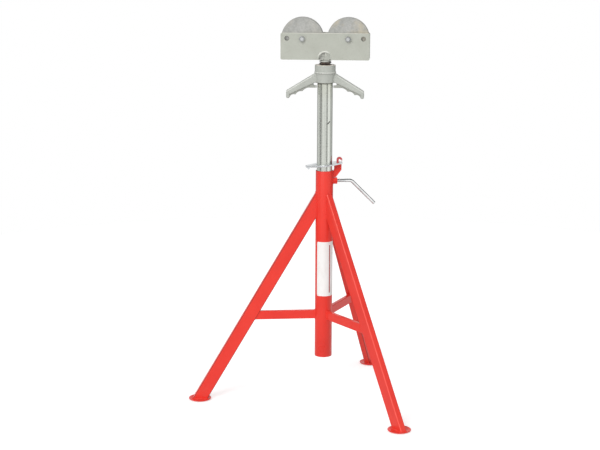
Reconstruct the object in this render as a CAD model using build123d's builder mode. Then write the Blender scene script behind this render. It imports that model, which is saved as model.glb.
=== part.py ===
from build123d import *
from math import atan2, cos, radians, sin, tan
import os

# Pipe jack stand, in millimetres. +Z is up, and the origin is on the floor under the centre tube.
# +X runs along the head plates, and -Y faces the side with the axle nuts.
# The base is turned a little from the head, as the head can turn on the column.
# Tubes, bars, plates, screws and bolts are inch stock; the rest follows the photograph.

os.makedirs("parts", exist_ok=True)

# Clearances shared by the moving fits
running_clearance = 0.05
sliding_clearance = 0.3
face_clearance = 0.1
cut_overrun = 5.0

# Centre tube of the base
base_turn_angle = 9.0
tube_diameter = 50.8
tube_wall = 2.11
tube_length = 558.8
tube_ground_gap = 129.0

# Legs: rectangular tube, deep side radial, coped to the centre tube
leg_count = 3
leg_names = ("left", "front", "back")
leg_stance_radius = 369.6
leg_join_drop = 60.3
leg_depth = 38.1
leg_width = 19.05
leg_wall = 1.65
leg_corner_radius = 2.4

# Feet: round pressed pads with a turned-up rim
foot_diameter = 66.3
foot_thickness = 3.0
foot_flat_diameter = 52.0
foot_rim_height = 5.8

# Braces from the centre tube to the legs
brace_level = 256.3
brace_height = 25.4
brace_width = 12.7
brace_wall = 1.65
brace_corner_radius = 1.8

# Label wrapped round the front of the centre tube
label_bottom = 316.0
label_height = 163.0
label_thickness = 0.2
label_glue = 0.05
label_middle_angle = 297.5
label_wrap_angle = 149.0

# Inner tube of the column
column_diameter = 44.45
column_wall = 3.05
column_length = 558.8
column_extension = 282.2
column_slit_drop = 140.0
column_slit_length = 12.0
column_slit_width = 3.0
column_slit_angle = 304.0
column_slit_slant = 45.0
column_dimple_drop = 90.0
column_dimple_diameter = 5.2
column_dimple_depth = 1.2
column_dimple_angle = 272.0

# Lock ring: a steel plate round the inner tube that binds when it tilts
ring_rise = 17.4
ring_tilt_angle = 5.6
ring_thickness = 4.76
ring_diameter = 68.0
ring_hole_clearance = 0.8
ring_hook_reach = 52.0
ring_hook_width = 22.0
ring_handle_reach = 54.6
ring_handle_width = 17.0
ring_lip_length = 12.5
ring_lip_angle = 62.0
ring_edge_fillet = 0.8
ring_slot_width = 8.0

# Lock bracket: the plate with a hook that holds the ring's other end
bracket_thickness = 6.35
bracket_reach = 49.4
bracket_foot_reach = 33.0
bracket_foot_drop = 20.0
bracket_weld_height = 16.7
bracket_shoulder_rise = 1.6
bracket_tube_gap = 2.9
bracket_neck_rise = 4.2
hook_reach = 38.2
hook_stroke = 5.8
hook_bend_radius = 5.2
hook_bend_rise = 31.0
slot_clearance = 1.0

# Clamp boss and clamp screw
clamp_drop = 30.3
boss_length = 11.8
boss_flats = 17.8
boss_chamfer = 2.0
clamp_diameter = 9.525
clamp_tip_gap = 0.3
clamp_reach = 78.8
clamp_bend_radius = 16.0
clamp_bend_angle = 45.0
clamp_handle_length = 97.0
clamp_end_chamfer = 0.9

# Jack screw
screw_diameter = 34.925
screw_pitch = 6.35
screw_thread_depth = 3.175
screw_crest_width = 2.35
screw_root_width = 2.35
screw_length = 203.2
screw_plain_length = 8.5
screw_end_chamfer = 1.5

# Thrust washer on the inner tube's end
washer_thickness = 2.0
washer_clearance = 0.6

# Jack nut: a casting with two drooping arms
nut_thread_length = 22.9
nut_skirt_length = 28.7
nut_collar_diameter = 59.8
nut_ledge_diameter = 63.2
nut_ledge_height = 2.5
nut_skirt_diameter = 54.4
nut_edge_fillet = 1.6
arm_reach = 112.0
arm_drop = 74.1
arm_width = 19.0
arm_edge_fillet = 3.4
arm_tip_fillet = 3.6
arm_web_width = 9.0
arm_tab_clearance = 1.8
arm_notch_diameter = 7.8
arm_notch_offset = 2.6
arm_notch_drop = 32.7

# Roller head
head_gap = 15.2
plate_length = 254.0
plate_height = 76.2
plate_thickness = 6.35
plate_spacing = 28.6
plate_corner_radius = 4.5
arch_width = 35.6
arch_height = 24.5
weld_width = 3.2
weld_height = 1.6
weld_fillet = 1.1
weld_depth = 3.0
screw_seat_height = 20.3
corner_hole_diameter = 12.7
corner_hole_offset = 109.0
corner_hole_height = 60.7

# Rollers, their bushes and axle bolts
roller_diameter = 120.65
roller_width = 25.4
roller_chamfer = 0.8
axle_offset = 65.55
axle_height = 60.0
axle_diameter = 9.525
bush_diameter = 15.875
spacer_diameter = 25.4
hex_flats = 14.2875
hex_chamfer = 0.8
bolt_head_thickness = 6.0
axle_nut_thickness = 8.3
bolt_end_length = 1.8
bolt_end_chamfer = 0.7

# Levels and radii that follow from the sizes above
tube_radius = tube_diameter / 2
tube_bore_radius = tube_radius - tube_wall
tube_top = tube_ground_gap + tube_length
first_leg_angle = base_turn_angle + 180
column_radius = column_diameter / 2
column_bore_radius = column_radius - column_wall
column_top = tube_top + column_extension
column_bottom = column_top - column_length
screw_radius = screw_diameter / 2
washer_top = column_top + washer_thickness
nut_shoulder = washer_top + face_clearance
nut_top = nut_shoulder + nut_thread_length
nut_bottom = nut_shoulder - nut_skirt_length
ring_level = tube_top + ring_rise
clamp_level = tube_top - clamp_drop
clamp_radius = clamp_diameter / 2
head_bottom = nut_top + head_gap
axle_level = head_bottom + axle_height
screw_top = head_bottom + screw_seat_height
screw_bottom = screw_top - screw_length
plate_inner = plate_spacing / 2
plate_outer = plate_inner + plate_thickness


def upright_plane(angle, level=0, tilt=0):
    """Upright plane through the centre line: local x runs outward, raised by the tilt."""
    level_reach = cos(radians(tilt))
    level_outward = Vector(cos(radians(angle)), sin(radians(angle)), 0)
    outward = level_outward * level_reach + Vector(0, 0, sin(radians(tilt)))
    sideways = Vector(sin(radians(angle)), -cos(radians(angle)), 0)
    return Plane(origin=(0, 0, level), x_dir=outward, z_dir=sideways)


def facing_plane(angle, reach, level=0):
    """Upright plane that faces outward at the angle: local x runs round the tube and local y runs up."""
    outward = Vector(cos(radians(angle)), sin(radians(angle)), 0)
    around = Vector(-sin(radians(angle)), cos(radians(angle)), 0)
    return Plane(origin=outward * reach + Vector(0, 0, level), x_dir=around, z_dir=outward)


def export_piece(part, name):
    """Labels a finished piece and writes its STEP file."""
    part.label = name
    export_step(part, f"parts/{name}.step")


# Solid core of the centre tube, which copes the pieces that are welded to the tube
with BuildPart() as tube_core:
    with BuildSketch(Plane.XY):
        Circle(tube_radius)
    extrude(amount=tube_top)

# Centre tube: round tube, drilled on the clamp side for the screw
with BuildPart() as centre_tube:
    with BuildSketch(Plane.XY.offset(tube_ground_gap)):
        Circle(tube_radius)
        Circle(tube_bore_radius, mode=Mode.SUBTRACT)
    extrude(amount=tube_length)
    with BuildSketch(facing_plane(base_turn_angle, tube_bore_radius - cut_overrun, clamp_level)):
        Circle(clamp_radius + sliding_clearance)
    extrude(amount=cut_overrun + tube_wall + cut_overrun, mode=Mode.SUBTRACT)
export_piece(centre_tube.part, "centre_tube")

# Label: a thin sheet round the front of the centre tube
with BuildPart() as label:
    with BuildSketch(Plane.XY.offset(label_bottom)):
        Circle(tube_radius + label_glue + label_thickness)
        with BuildLine():
            label_wedge = [(0, 0)]
            for wrap_share in (-0.5, 0, 0.5):
                wedge_angle = radians(label_middle_angle + wrap_share * label_wrap_angle)
                label_wedge.append((tube_diameter * cos(wedge_angle), tube_diameter * sin(wedge_angle)))
            Polyline(*label_wedge, close=True)
        make_face(mode=Mode.INTERSECT)
        Circle(tube_radius + label_glue, mode=Mode.SUBTRACT)
    extrude(amount=label_height)
export_piece(label.part, "label")

# Legs: each leans in to the centre tube, is cut level on its foot and coped to the tube
leg_lean = atan2(leg_stance_radius, tube_top - leg_join_drop)
for index, leg_name in enumerate(leg_names):
    leg_angle = first_leg_angle + index * 360 / leg_count
    outward = Vector(cos(radians(leg_angle)), sin(radians(leg_angle)), 0)
    leg_run = Vector(0, 0, 1) * cos(leg_lean) - outward * sin(leg_lean)
    leg_square = Vector(0, 0, 1) * sin(leg_lean) + outward * cos(leg_lean)
    around = Vector(-sin(radians(leg_angle)), cos(radians(leg_angle)), 0)
    leg_start = outward * leg_stance_radius
    with BuildPart() as leg:
        with BuildSketch(Plane(origin=leg_start - leg_run * leg_depth, x_dir=around, z_dir=leg_run)):
            RectangleRounded(leg_width, leg_depth, leg_corner_radius)
            RectangleRounded(
                leg_width - 2 * leg_wall,
                leg_depth - 2 * leg_wall,
                leg_corner_radius - leg_wall,
                mode=Mode.SUBTRACT,
            )
        extrude(amount=leg_depth + leg_stance_radius / sin(leg_lean))
        split(bisect_by=Plane.XY.offset(foot_thickness), keep=Keep.TOP)
        add(tube_core.part, mode=Mode.SUBTRACT)
    export_piece(leg.part, f"leg_{leg_name}")

    # Foot: a pressed pad under the leg, flat where it stands, with a turned-up rim
    with BuildPart() as foot:
        foot_middle = outward * (leg_stance_radius - foot_thickness * tan(leg_lean))
        foot_rim_slope = foot_rim_height - foot_thickness
        with BuildSketch(Plane(origin=foot_middle, x_dir=outward, z_dir=-around)):
            with BuildLine():
                Polyline(
                    (0, 0),
                    (foot_flat_diameter / 2, 0),
                    (foot_diameter / 2, foot_rim_slope),
                    (foot_diameter / 2, foot_rim_height),
                    (foot_flat_diameter / 2, foot_thickness),
                    (0, foot_thickness),
                    close=True,
                )
            make_face()
        revolve(axis=Axis(foot_middle, (0, 0, 1)))
    export_piece(foot.part, f"foot_{leg_name}")

    # Brace: a small flat tube from the centre tube to the leg's inner face
    with BuildPart() as brace:
        with BuildSketch(facing_plane(leg_angle, 0, brace_level)):
            RectangleRounded(brace_width, brace_height, brace_corner_radius)
            RectangleRounded(
                brace_width - 2 * brace_wall,
                brace_height - 2 * brace_wall,
                brace_corner_radius - brace_wall,
                mode=Mode.SUBTRACT,
            )
        extrude(amount=leg_stance_radius)
        leg_face = Plane(origin=leg_start - leg_square * (leg_depth / 2), x_dir=around, z_dir=leg_square)
        split(bisect_by=leg_face, keep=Keep.BOTTOM)
        add(tube_core.part, mode=Mode.SUBTRACT)
    export_piece(brace.part, f"brace_{leg_name}")

# Lock bracket: an upright plate welded to the tube, whose hook rises through the lock ring
ring_slope = tan(radians(ring_tilt_angle))
ring_half_height = ring_thickness / 2 / cos(radians(ring_tilt_angle))
ring_hole_radius = column_radius + ring_hole_clearance


def under_ring(reach):
    """Level of the bracket's top edge at a reach, just under the resting lock ring."""
    return ring_level + reach * ring_slope - ring_half_height - sliding_clearance


bracket_weld_bottom = tube_top - bracket_foot_drop
bracket_neck = tube_radius + bracket_tube_gap
hook_middle = (hook_reach + hook_bend_radius, tube_top + hook_bend_rise)
hook_outer_radius = hook_bend_radius + hook_stroke / 2
with BuildPart() as lock_bracket:
    with BuildSketch(upright_plane(base_turn_angle)):
        with Locations(hook_middle):
            Circle(hook_outer_radius)
            Circle(hook_bend_radius - hook_stroke / 2, mode=Mode.SUBTRACT)
            Rectangle(
                hook_outer_radius + cut_overrun,
                hook_outer_radius + cut_overrun,
                align=(Align.CENTER, Align.MAX),
                mode=Mode.SUBTRACT,
            )
        with BuildLine():
            Polyline(
                (tube_bore_radius, bracket_weld_bottom),
                (bracket_foot_reach, bracket_weld_bottom),
                (bracket_reach, tube_top + bracket_shoulder_rise),
                (bracket_reach, under_ring(bracket_reach)),
                (bracket_neck, under_ring(bracket_neck)),
                (bracket_neck, tube_top + bracket_neck_rise),
                (tube_radius, bracket_weld_bottom + bracket_weld_height),
                (tube_bore_radius, bracket_weld_bottom + bracket_weld_height),
                close=True,
            )
        make_face()
        with Locations((hook_reach, tube_top)):
            Rectangle(hook_stroke, hook_bend_rise, align=(Align.CENTER, Align.MIN))
    extrude(amount=bracket_thickness / 2, both=True)
    add(tube_core.part, mode=Mode.SUBTRACT)
export_piece(lock_bracket.part, "lock_bracket")

# Clamp boss: a hexagon nut welded over the hole in the tube
with BuildPart() as clamp_boss:
    with BuildSketch(facing_plane(base_turn_angle, tube_bore_radius, clamp_level)):
        RegularPolygon(boss_flats / 2, 6, major_radius=False, rotation=90)
    extrude(amount=tube_wall + boss_length)
    boss_end = clamp_boss.faces().sort_by(Axis.X)[-1]
    chamfer(boss_end.edges(), boss_chamfer)
    with BuildSketch(facing_plane(base_turn_angle, 0, clamp_level)):
        Circle(clamp_radius + running_clearance)
    extrude(amount=clamp_reach, mode=Mode.SUBTRACT)
    add(tube_core.part, mode=Mode.SUBTRACT)
export_piece(clamp_boss.part, "clamp_boss")

# Clamp screw: one round rod, threaded at its tip, with the rest bent down as a handle
clamp_bend = radians(clamp_bend_angle)
clamp_tip_reach = column_radius + clamp_tip_gap
with BuildPart() as clamp_screw:
    with BuildLine(upright_plane(base_turn_angle, clamp_level)) as clamp_route:
        FilletPolyline(
            (clamp_tip_reach, 0),
            (clamp_reach, 0),
            (
                clamp_reach + clamp_handle_length * cos(clamp_bend),
                -clamp_handle_length * sin(clamp_bend),
            ),
            radius=clamp_bend_radius,
        )
    with BuildSketch(facing_plane(base_turn_angle, clamp_tip_reach, clamp_level)):
        Circle(clamp_radius)
    sweep(path=clamp_route.line)
    clamp_ends = clamp_screw.faces().filter_by(GeomType.PLANE)
    chamfer(clamp_ends.edges(), clamp_end_chamfer)
export_piece(clamp_screw.part, "clamp_screw")

# Lock ring: a tapered plate with a round hole, a slot for the hook and a turned-down handle lip
ring_upright = upright_plane(base_turn_angle, ring_level, ring_tilt_angle)
ring_plane = Plane(origin=ring_upright.origin, x_dir=ring_upright.x_dir, z_dir=ring_upright.y_dir)
lip_lean = radians(ring_lip_angle)
lip_drop = ring_lip_length * sin(lip_lean)
lip_inset = ring_lip_length * cos(lip_lean)
lip_root = ring_thickness * (1 + cos(lip_lean)) / sin(lip_lean)
slot_inner = hook_reach - hook_stroke / 2 - slot_clearance
slot_outer = hook_middle[0] + slot_clearance
with BuildPart() as lock_ring:
    with BuildSketch(ring_plane):
        Circle(ring_diameter / 2)
        with Locations((ring_hook_reach, 0)):
            Rectangle(ring_thickness, ring_hook_width, align=(Align.MAX, Align.CENTER))
        with Locations((-ring_handle_reach, 0)):
            Rectangle(ring_thickness, ring_handle_width, align=(Align.MIN, Align.CENTER))
        make_hull()
        Circle(ring_hole_radius, mode=Mode.SUBTRACT)
        with Locations(((slot_inner + slot_outer) / 2, 0)):
            Rectangle(slot_outer - slot_inner, ring_slot_width, mode=Mode.SUBTRACT)
    extrude(amount=ring_thickness / 2, both=True)
    ring_faces = lock_ring.faces().sort_by(Axis(ring_plane.origin, ring_plane.z_dir))
    fillet(ring_faces[0].outer_wire().edges() + ring_faces[-1].outer_wire().edges(), ring_edge_fillet)
    with BuildSketch(ring_upright):
        with BuildLine():
            Polyline(
                (lip_root - ring_handle_reach, ring_thickness / 2 - ring_edge_fillet),
                (-ring_handle_reach, ring_thickness / 2 - ring_edge_fillet),
                (lip_inset - ring_handle_reach, ring_thickness / 2 - lip_drop),
                (
                    lip_inset + ring_thickness * sin(lip_lean) - ring_handle_reach,
                    ring_thickness / 2 - lip_drop + ring_thickness * cos(lip_lean),
                ),
                (lip_root - ring_handle_reach, -ring_thickness / 2),
                close=True,
            )
        make_face()
    extrude(amount=ring_handle_width / 2 - ring_edge_fillet, both=True)
export_piece(lock_ring.part, "lock_ring")

# Inner tube: the sliding column, with a slanted slit and a drill mark near its top
with BuildPart() as inner_tube:
    with BuildSketch(Plane.XY.offset(column_bottom)):
        Circle(column_radius)
        Circle(column_bore_radius, mode=Mode.SUBTRACT)
    extrude(amount=column_length)
    slit_floor = column_bore_radius - cut_overrun
    with BuildSketch(facing_plane(column_slit_angle, slit_floor, column_top - column_slit_drop)):
        SlotOverall(column_slit_length, column_slit_width, rotation=column_slit_slant)
    extrude(amount=cut_overrun + column_wall + cut_overrun, mode=Mode.SUBTRACT)
    dimple_floor = column_radius - column_dimple_depth
    with BuildSketch(facing_plane(column_dimple_angle, dimple_floor, column_top - column_dimple_drop)):
        Circle(column_dimple_diameter / 2)
    extrude(amount=column_dimple_depth + cut_overrun, mode=Mode.SUBTRACT)
export_piece(inner_tube.part, "inner_tube")

# Thrust washer: lies on the inner tube's end and carries the nut
with BuildPart() as thrust_washer:
    with BuildSketch(Plane.XY.offset(column_top)):
        Circle(column_radius - running_clearance)
        Circle(screw_radius + washer_clearance, mode=Mode.SUBTRACT)
    extrude(amount=washer_thickness)
export_piece(thrust_washer.part, "thrust_washer")

# Jack nut: two drooping arms first, then the turned body with its collar and skirt
nut_skirt_radius = nut_skirt_diameter / 2
skirt_bore_radius = column_radius + sliding_clearance
arm_root_reach = (nut_skirt_radius + skirt_bore_radius) / 2
arm_tab_reach = column_radius + arm_tab_clearance
arm_bar_shares = ((1.0, 0.703), (1.0, 1.0), (0.87, 1.0), (0.9, 0.86), (0.0, 0.375))
arm_web_root_share = 0.2
arm_web_tip_shares = (0.9, 0.8)
arm_tab_end_shares = (0.245, 0.588)
arm_scallop_shares = (
    ((0.357, 0.636), (0.448, 0.735)),
    ((0.581, 0.748), (0.682, 0.869)),
    ((0.788, 0.858), (0.88, 0.96)),
)


def arm_point(shares):
    """Point of the arm's outline, from its shares of the arm's run and drop."""
    run_share, drop_share = shares
    run = arm_reach - nut_skirt_radius
    return (nut_skirt_radius + run_share * run, nut_shoulder - drop_share * arm_drop)


with BuildPart() as jack_nut:
    with BuildSketch(upright_plane(0)) as bar_outline:
        with BuildLine():
            Polyline(
                (arm_root_reach, nut_shoulder),
                (nut_skirt_radius, nut_shoulder),
                *[arm_point(shares) for shares in arm_bar_shares],
                (arm_root_reach, arm_point(arm_bar_shares[-1])[1]),
                close=True,
            )
        make_face()
        fillet(bar_outline.vertices().sort_by(Axis.X)[-4:], arm_tip_fillet)
    extrude(amount=arm_width / 2, both=True)
    bar_edges = jack_nut.faces().filter_by(Axis.Y).edges()
    fillet(bar_edges.filter_by_position(Axis.X, nut_skirt_radius, arm_reach), arm_edge_fillet)
    notch_reach = nut_skirt_radius + arm_notch_offset
    with BuildSketch(upright_plane(0)):
        with BuildLine():
            tab_end = arm_point(arm_tab_end_shares)
            Polyline((arm_tab_reach, tab_end[1]), tab_end)
            scallop_start = tab_end
            for middle_shares, end_shares in arm_scallop_shares:
                scallop_end = arm_point(end_shares)
                ThreePointArc(scallop_start, arm_point(middle_shares), scallop_end)
                scallop_start = scallop_end
            Polyline(
                scallop_start,
                arm_point(arm_web_tip_shares),
                (arm_tab_reach, nut_shoulder - arm_web_root_share * arm_drop),
                (arm_tab_reach, tab_end[1]),
            )
        make_face()
        with Locations((notch_reach, nut_shoulder - arm_notch_drop)):
            Circle(arm_notch_diameter / 2, mode=Mode.SUBTRACT)
            Rectangle(notch_reach, arm_notch_diameter, align=(Align.MAX, Align.CENTER), mode=Mode.SUBTRACT)
    extrude(amount=arm_web_width / 2, both=True)
    mirror(about=Plane.YZ)
    with BuildSketch(upright_plane(0)) as nut_profile:
        with BuildLine():
            Polyline(
                (screw_radius + running_clearance, nut_shoulder),
                (screw_radius + running_clearance, nut_top),
                (nut_collar_diameter / 2, nut_top),
                (nut_collar_diameter / 2, nut_shoulder + nut_ledge_height),
                (nut_ledge_diameter / 2, nut_shoulder + nut_ledge_height),
                (nut_ledge_diameter / 2, nut_shoulder),
                (nut_skirt_radius, nut_shoulder),
                (nut_skirt_radius, nut_bottom),
                (skirt_bore_radius, nut_bottom),
                (skirt_bore_radius, nut_shoulder),
                close=True,
            )
        make_face()
        nut_corners = nut_profile.vertices().group_by(Axis.Y)
        fillet(nut_corners[-1].sort_by(Axis.X)[-1], nut_edge_fillet)
        fillet(nut_corners[0].sort_by(Axis.X)[-1], nut_edge_fillet)
    revolve(axis=Axis.Z)
export_piece(jack_nut.part, "jack_nut")

# Jack screw: a bar with a square-cut thread, drawn as rings, welded into the head
thread_root_radius = screw_radius - screw_thread_depth
thread_flank = (screw_pitch - screw_crest_width - screw_root_width) / 2
thread_count = int((screw_length - screw_plain_length - screw_pitch) / screw_pitch)
thread_top = screw_top - screw_plain_length
with BuildPart() as jack_screw:
    with BuildSketch(upright_plane(0)):
        with BuildLine():
            thread_points = []
            for turn in range(thread_count):
                turn_top = thread_top - turn * screw_pitch
                thread_points += [
                    (screw_radius, turn_top),
                    (thread_root_radius, turn_top - thread_flank),
                    (thread_root_radius, turn_top - thread_flank - screw_root_width),
                    (screw_radius, turn_top - thread_flank - screw_root_width - thread_flank),
                ]
            Polyline(
                (0, screw_top),
                (screw_radius - screw_end_chamfer, screw_top),
                (screw_radius, screw_top - screw_end_chamfer),
                *thread_points,
                (screw_radius, screw_bottom + screw_end_chamfer),
                (screw_radius - screw_end_chamfer, screw_bottom),
                (0, screw_bottom),
                close=True,
            )
        make_face()
    revolve(axis=Axis.Z)
export_piece(jack_screw.part, "jack_screw")

# Head plates: two flat bars with an arch over the screw, axle holes and a spare hole at each end
arch_level = head_bottom + arch_height - arch_width / 2
for plate_name, plate_start in (("front", plate_inner), ("back", -plate_outer)):
    with BuildPart() as head_plate:
        with BuildSketch(Plane.XZ.offset(plate_start)):
            with Locations((0, head_bottom + plate_height / 2)):
                RectangleRounded(plate_length, plate_height, plate_corner_radius)
            with Locations((0, arch_level)):
                Circle(arch_width / 2, mode=Mode.SUBTRACT)
                Rectangle(arch_width, arch_height, align=(Align.CENTER, Align.MAX), mode=Mode.SUBTRACT)
            with Locations((-axle_offset, axle_level), (axle_offset, axle_level)):
                Circle(axle_diameter / 2 + running_clearance, mode=Mode.SUBTRACT)
            corner_hole_level = head_bottom + corner_hole_height
            for hole_offset in (-corner_hole_offset, corner_hole_offset):
                with Locations((hole_offset, corner_hole_level)):
                    Circle(corner_hole_diameter / 2, mode=Mode.SUBTRACT)
        extrude(amount=plate_thickness)
    export_piece(head_plate.part, f"head_plate_{plate_name}")

# Head welds: a bead round each arch on the outer face, and a fill between the arch and the screw
with BuildPart() as head_welds:
    with BuildSketch(Plane.XZ.offset(plate_outer)):
        bead_outlines = ((Mode.ADD, arch_width / 2 + weld_width), (Mode.SUBTRACT, arch_width / 2))
        for bead_mode, bead_reach in bead_outlines:
            with Locations((0, arch_level)):
                Circle(bead_reach, mode=bead_mode)
                Rectangle(
                    2 * bead_reach,
                    arch_level - head_bottom,
                    align=(Align.CENTER, Align.MAX),
                    mode=bead_mode,
                )
        with Locations((0, head_bottom)):
            Rectangle(plate_length, plate_height, align=(Align.CENTER, Align.MAX), mode=Mode.SUBTRACT)
    extrude(amount=weld_height)
    fillet(head_welds.faces().sort_by(Axis.Y)[0].edges(), weld_fillet)
    with BuildSketch(Plane.XZ.offset(plate_inner)):
        with Locations((0, arch_level)):
            Circle(arch_width / 2)
            Rectangle(arch_width, arch_level - head_bottom, align=(Align.CENTER, Align.MAX))
        with Locations((0, head_bottom)):
            Rectangle(plate_length, plate_height, align=(Align.CENTER, Align.MAX), mode=Mode.SUBTRACT)
    extrude(amount=weld_depth)
    with BuildSketch(Plane.XY.offset(screw_bottom)):
        Circle(screw_radius)
    extrude(amount=screw_length, mode=Mode.SUBTRACT)
    mirror(about=Plane.XZ)
export_piece(head_welds.part, "head_welds")

# Rollers with their bushes, axle bolts and nuts, one set each side of the screw
bolt_length = 2 * plate_outer + axle_nut_thickness + bolt_end_length
for side_name, side in (("left", -1), ("right", 1)):
    axle_place = (side * axle_offset, axle_level)

    with BuildPart() as roller:
        with BuildSketch(Plane.XZ):
            with Locations(axle_place):
                Circle(roller_diameter / 2)
        extrude(amount=roller_width / 2, both=True)
        chamfer(roller.faces().filter_by(Axis.Y).edges(), roller_chamfer)
        with BuildSketch(Plane.XZ):
            with Locations(axle_place):
                Circle(bush_diameter / 2)
        extrude(amount=roller_width, both=True, mode=Mode.SUBTRACT)
    export_piece(roller.part, f"roller_{side_name}")

    with BuildPart() as bushing:
        with BuildSketch(Plane.XZ):
            with Locations(axle_place):
                Circle(bush_diameter / 2)
                Circle(axle_diameter / 2 + running_clearance, mode=Mode.SUBTRACT)
        extrude(amount=roller_width / 2, both=True)
    export_piece(bushing.part, f"bushing_{side_name}")

    with BuildPart() as axle_bolt:
        with BuildSketch(Plane.XZ.offset(-plate_outer)):
            with Locations(axle_place):
                RegularPolygon(hex_flats / 2, 6, major_radius=False)
        extrude(amount=-bolt_head_thickness)
        chamfer(axle_bolt.faces().sort_by(Axis.Y)[-1].edges(), hex_chamfer)
        with BuildSketch(Plane.XZ.offset(-plate_outer)):
            with Locations(axle_place):
                Circle(axle_diameter / 2)
        extrude(amount=bolt_length)
        chamfer(axle_bolt.faces().sort_by(Axis.Y)[0].edges(), bolt_end_chamfer)
    export_piece(axle_bolt.part, f"axle_bolt_{side_name}")

    with BuildPart() as axle_nut:
        with BuildSketch(Plane.XZ.offset(plate_outer)):
            with Locations(axle_place):
                RegularPolygon(hex_flats / 2, 6, major_radius=False)
        extrude(amount=axle_nut_thickness)
        chamfer(axle_nut.faces().sort_by(Axis.Y)[0].edges(), hex_chamfer)
        with BuildSketch(Plane.XZ.offset(plate_outer)):
            with Locations(axle_place):
                Circle(axle_diameter / 2)
        extrude(amount=axle_nut_thickness, mode=Mode.SUBTRACT)
    export_piece(axle_nut.part, f"axle_nut_{side_name}")

# Roller spacers: thin washers on the plates' inner faces, beside the rollers
spacer_thickness = (plate_spacing - roller_width) / 2 - sliding_clearance
with BuildPart() as roller_spacers:
    for spacer_start in (plate_inner - spacer_thickness, -plate_inner):
        with BuildSketch(Plane.XZ.offset(spacer_start)):
            with Locations((-axle_offset, axle_level), (axle_offset, axle_level)):
                Circle(spacer_diameter / 2)
                Circle(axle_diameter / 2 + running_clearance, mode=Mode.SUBTRACT)
        extrude(amount=spacer_thickness)
export_piece(roller_spacers.part, "roller_spacers")
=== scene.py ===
from math import atan2, ceil, cos, hypot, pi, radians, sin, sqrt, tan

import bmesh
import bpy
from mathutils import Matrix, Vector, noise


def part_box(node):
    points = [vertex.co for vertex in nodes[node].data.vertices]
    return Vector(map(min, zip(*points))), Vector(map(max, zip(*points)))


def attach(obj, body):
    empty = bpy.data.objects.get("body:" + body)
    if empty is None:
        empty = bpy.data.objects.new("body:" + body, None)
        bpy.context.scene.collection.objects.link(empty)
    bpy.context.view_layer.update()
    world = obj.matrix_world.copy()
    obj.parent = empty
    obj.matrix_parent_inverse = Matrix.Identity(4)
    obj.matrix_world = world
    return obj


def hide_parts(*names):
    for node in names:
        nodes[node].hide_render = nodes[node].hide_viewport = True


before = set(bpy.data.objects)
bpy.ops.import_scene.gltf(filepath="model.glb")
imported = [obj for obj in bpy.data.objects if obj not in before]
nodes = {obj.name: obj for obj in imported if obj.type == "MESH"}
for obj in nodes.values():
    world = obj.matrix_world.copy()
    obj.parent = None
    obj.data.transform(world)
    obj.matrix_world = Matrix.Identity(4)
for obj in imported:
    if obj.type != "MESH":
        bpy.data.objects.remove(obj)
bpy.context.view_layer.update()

# Centre tube: two-inch steel tube, sprayed in glossy red enamel with the whole welded base.
# The coat has a faint orange peel, clouds a little in colour and is chipped in a very few specks.
tube_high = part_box("centre_tube")[1]
tube_radius = tube_high.x
tube_top = tube_high.z
enamel_bright = (0.85, 0.050, 0.034, 1)
enamel_deep = (0.78, 0.040, 0.028, 1)
enamel_chip = (0.11, 0.05, 0.045, 1)
enamel_dust = (0.68, 0.16, 0.12, 1)
dust_height = 0.06


def add_node(kind, inputs, tree=None, **settings):
    """Adds a shader node with values or other nodes' outputs as inputs, in the tree they are in."""
    sockets = [value for value in inputs.values() if isinstance(value, bpy.types.NodeSocket)]
    tree = tree or sockets[0].id_data
    made = tree.nodes.new("ShaderNode" + kind)
    for setting, value in settings.items():
        setattr(made, setting, value)
    for socket, value in inputs.items():
        if isinstance(value, bpy.types.NodeSocket):
            tree.links.new(value, made.inputs[socket])
        else:
            made.inputs[socket].default_value = value
    return made


def start_finish(name, roughness, metallic=0.0, coat=0.0):
    """A new material, its shader and the place on the piece."""
    material = bpy.data.materials.new(name)
    material.use_nodes = True
    surface = material.node_tree.nodes["Principled BSDF"]
    for socket, value in (("Roughness", roughness), ("Metallic", metallic), ("Coat Weight", coat)):
        surface.inputs[socket].default_value = value
    return material, surface, place_on(material)


def place_on(material, coordinates="Object"):
    return add_node("TexCoord", {}, material.node_tree).outputs[coordinates]


def clouds(place, scale, detail=3.0, stretch=(1, 1, 1)):
    """Soft noise from 0 to 1; a stretch below 1 along an axis draws it out into streaks."""
    drawn = add_node("Mapping", {"Vector": place, "Scale": stretch}).outputs[0]
    return add_node("TexNoise", {"Vector": drawn, "Scale": scale, "Detail": detail}).outputs[0]


def level(value, low, high, start=0.0, end=1.0):
    """The value as it runs from low to high, given out from start to end and held there."""
    sockets = {"Value": value, "From Min": low, "From Max": high, "To Min": start, "To Max": end}
    return add_node("MapRange", sockets).outputs[0]


def combine(first, second=0, operation="MULTIPLY"):
    """Works on two values, or on the first alone where the operation takes only one."""
    return add_node("Math", {0: first, 1: second}, operation=operation).outputs[0]


def split(vector):
    return add_node("SeparateXYZ", {0: vector}).outputs


def blend_colours(share, first, second):
    return add_node("Mix", {0: share, 6: first, 7: second}, data_type="RGBA").outputs[2]


def colour_surface(surface, colour, roughness):
    links = surface.id_data.links
    links.new(colour, surface.inputs["Base Color"])
    links.new(roughness, surface.inputs["Roughness"])


def emboss(surface, *heights):
    """Bumps the surface by each (height, strength, depth in metres) in turn."""
    normal = None
    for height, strength, depth in heights:
        sockets = {"Height": height, "Strength": strength, "Distance": depth}
        if normal:
            sockets["Normal"] = normal
        normal = add_node("Bump", sockets).outputs[0]
    surface.id_data.links.new(normal, surface.inputs["Normal"])


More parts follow.
